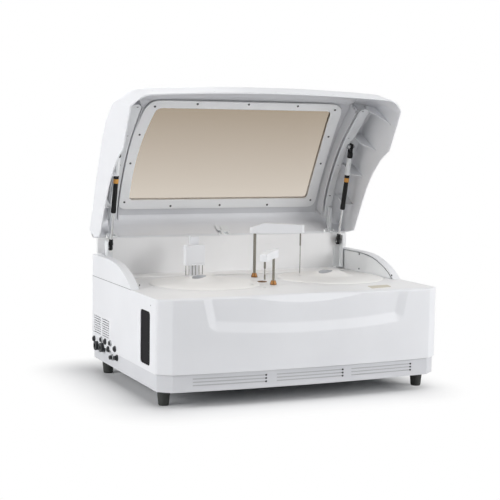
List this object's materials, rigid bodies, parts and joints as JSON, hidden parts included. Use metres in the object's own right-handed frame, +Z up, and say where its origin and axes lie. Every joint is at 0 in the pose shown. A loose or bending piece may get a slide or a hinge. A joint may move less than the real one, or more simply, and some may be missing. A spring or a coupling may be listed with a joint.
{
  "type": "benchtop chemistry analyzer",
  "caption": "Benchtop chemistry analyzer: a windowed lid on gas struts stands open over a reaction disc, reagent disc, sampling probe, mixer and wash station.",
  "frame": {"origin": "on the bench, under the middle of the whole object's box with the lid open", "axes": "+X to the operator's right, +Y to the rear, +Z up"},
  "size_m": [0.889, 0.6932, 0.8808],
  "materials": {
    "body_white": "smooth moulded plastic, satin",
    "skirt_grey": "fine-grained moulded plastic",
    "liner_grey": "matt grey moulded liner",
    "bezel_grey": "fine-grained moulded plastic",
    "dark_plastic": "dark moulded plastic, satin",
    "foot_rubber": "moulded rubber",
    "painted_steel": "grey powder coat on sheet steel",
    "ground_steel": "ground and polished",
    "turned_brass": "turned brass",
    "strut_black": "black enamel",
    "board_green": "solder mask",
    "pot_brown": "amber-brown moulded plastic",
    "window_tint": "clear sheet with a brown-grey tint"
  },
  "bodies": {
    "base": {"chassis_plate": "painted_steel", "inner_frame": "painted_steel", "base_skirt": "skirt_grey", "foot_front_left": "foot_rubber", "foot_front_right": "foot_rubber", "foot_rear_left": "foot_rubber", "foot_rear_right": "foot_rubber", "front_panel": "body_white", "side_panel_left": "body_white", "side_panel_right": "body_white", "rear_panel": "body_white", "deck_plate": "body_white", "rear_wall": "body_white", "wing_left": "body_white", "wing_right": "body_white", "wing_plate_left": "painted_steel", "wing_plate_right": "painted_steel", "strut_bracket_left": "painted_steel", "strut_bracket_right": "painted_steel", "side_window": "dark_plastic", "port_plate": "painted_steel", "waste_coupling": "dark_plastic", "water_coupling": "dark_plastic", "power_inlet": "dark_plastic", "hinge_rail": "painted_steel", "reaction_bowl": "skirt_grey", "reagent_bowl": "skirt_grey", "reaction_motor": "dark_plastic", "reagent_motor": "dark_plastic", "wash_post": "body_white", "wash_pot": "pot_brown", "power_supply": "painted_steel", "control_board": "board_green", "syringe_pump": "skirt_grey"},
    "lid": {"lid_shell": "body_white", "lid_liner": "liner_grey", "window_bezel": "bezel_grey", "lid_window": "window_tint", "lid_arm_left": "painted_steel", "lid_arm_right": "painted_steel", "hinge_leaf": "painted_steel"},
    "strut_rod_left_body": {"strut_rod_left": "ground_steel"},
    "strut_rod_right_body": {"strut_rod_right": "ground_steel"},
    "strut_tube_left_body": {"strut_tube_left": "strut_black"},
    "strut_tube_right_body": {"strut_tube_right": "strut_black"},
    "reaction_disc": {"reaction_ring": "skirt_grey"},
    "reagent_disc": {"reagent_carousel": "skirt_grey"},
    "reaction_cover_body": {"reaction_cover": "body_white"},
    "reagent_cover_body": {"reagent_cover": "body_white"},
    "probe_turret": {"probe_bush": "turned_brass"},
    "probe": {"probe_column": "ground_steel", "probe_arm": "body_white", "probe_needle": "ground_steel"},
    "mixer_turret": {"mixer_bush": "turned_brass"},
    "mixer": {"mixer_column": "ground_steel", "mixer_arm": "body_white"},
    "paddle": {"mixer_paddle": "dark_plastic"},
    "wash_carriage": {"wash_head": "body_white", "wash_manifold": "ground_steel"},
    "rocker": {"power_switch": "dark_plastic"}
  },
  "joints": [
    {"name": "lid_hinge", "type": "hinge", "parent": "base", "child": "lid", "pos_m": [0.0045, 0.27691, 0.425], "axis": [1, 0, 0], "range_deg": [0, 61.7]},
    {"name": "strut_left_pivot", "type": "hinge", "parent": "base", "child": "strut_rod_left_body", "pos_m": [-0.39, 0.24116, 0.388], "axis": [1, 0, 0], "range_deg": [0, 61.6]},
    {"name": "strut_left_slide", "type": "slide", "parent": "strut_rod_left_body", "child": "strut_tube_left_body", "axis": [0, -0.2425, 0.9701], "range_m": [-0.053, 0]},
    {"name": "strut_right_pivot", "type": "hinge", "parent": "base", "child": "strut_rod_right_body", "pos_m": [0.399, 0.24116, 0.388], "axis": [1, 0, 0], "range_deg": [0, 61.6]},
    {"name": "strut_right_slide", "type": "slide", "parent": "strut_rod_right_body", "child": "strut_tube_right_body", "axis": [0, -0.2425, 0.9701], "range_m": [-0.053, 0]},
    {"name": "reaction_spin", "type": "hinge", "parent": "base", "child": "reaction_disc", "pos_m": [-0.17951, -0.01283, 0.25], "axis": [0, 0, 1], "continuous": true},
    {"name": "reagent_spin", "type": "hinge", "parent": "base", "child": "reagent_disc", "pos_m": [0.24949, 0.00519, 0.25], "axis": [0, 0, 1], "continuous": true},
    {"name": "reaction_cover_lift", "type": "slide", "parent": "base", "child": "reaction_cover_body", "axis": [0, 0, 1], "range_m": [0, 0.03]},
    {"name": "reagent_cover_lift", "type": "slide", "parent": "base", "child": "reagent_cover_body", "axis": [0, 0, 1], "range_m": [0, 0.1]},
    {"name": "probe_swing", "type": "hinge", "parent": "base", "child": "probe_turret", "pos_m": [0.02852, 0.09017, 0.2991], "axis": [0, 0, -1], "range_deg": [-60, 88.09]},
    {"name": "probe_lift", "type": "slide", "parent": "probe_turret", "child": "probe", "axis": [0, 0, -1], "range_m": [0, 0.06]},
    {"name": "mixer_swing", "type": "hinge", "parent": "base", "child": "mixer_turret", "pos_m": [0.0045, -0.10087, 0.2991], "axis": [0, 0, -1], "range_deg": [0, 132.71]},
    {"name": "mixer_lift", "type": "slide", "parent": "mixer_turret", "child": "mixer", "axis": [0, 0, -1], "range_m": [0, 0.05]},
    {"name": "paddle_spin", "type": "hinge", "parent": "mixer", "child": "paddle", "pos_m": [-0.0485, -0.15387, 0.35], "axis": [0, 0, -1], "continuous": true},
    {"name": "wash_lift", "type": "slide", "parent": "base", "child": "wash_carriage", "axis": [0, 0, 1], "range_m": [-0.03, 0]},
    {"name": "power_rocker", "type": "hinge", "parent": "base", "child": "rocker", "pos_m": [0.3265, 0.27191, 0.135], "axis": [1, 0, 0], "range_deg": [0, 14]}
  ],
  "couplings": [
    {"joint": "strut_left_pivot", "follows": "lid_hinge", "ratio": 0.99656},
    {"joint": "strut_left_slide", "follows": "lid_hinge", "m_per_rad": -0.048989},
    {"joint": "strut_right_pivot", "follows": "lid_hinge", "ratio": 0.99656},
    {"joint": "strut_right_slide", "follows": "lid_hinge", "m_per_rad": -0.048989}
  ]
}
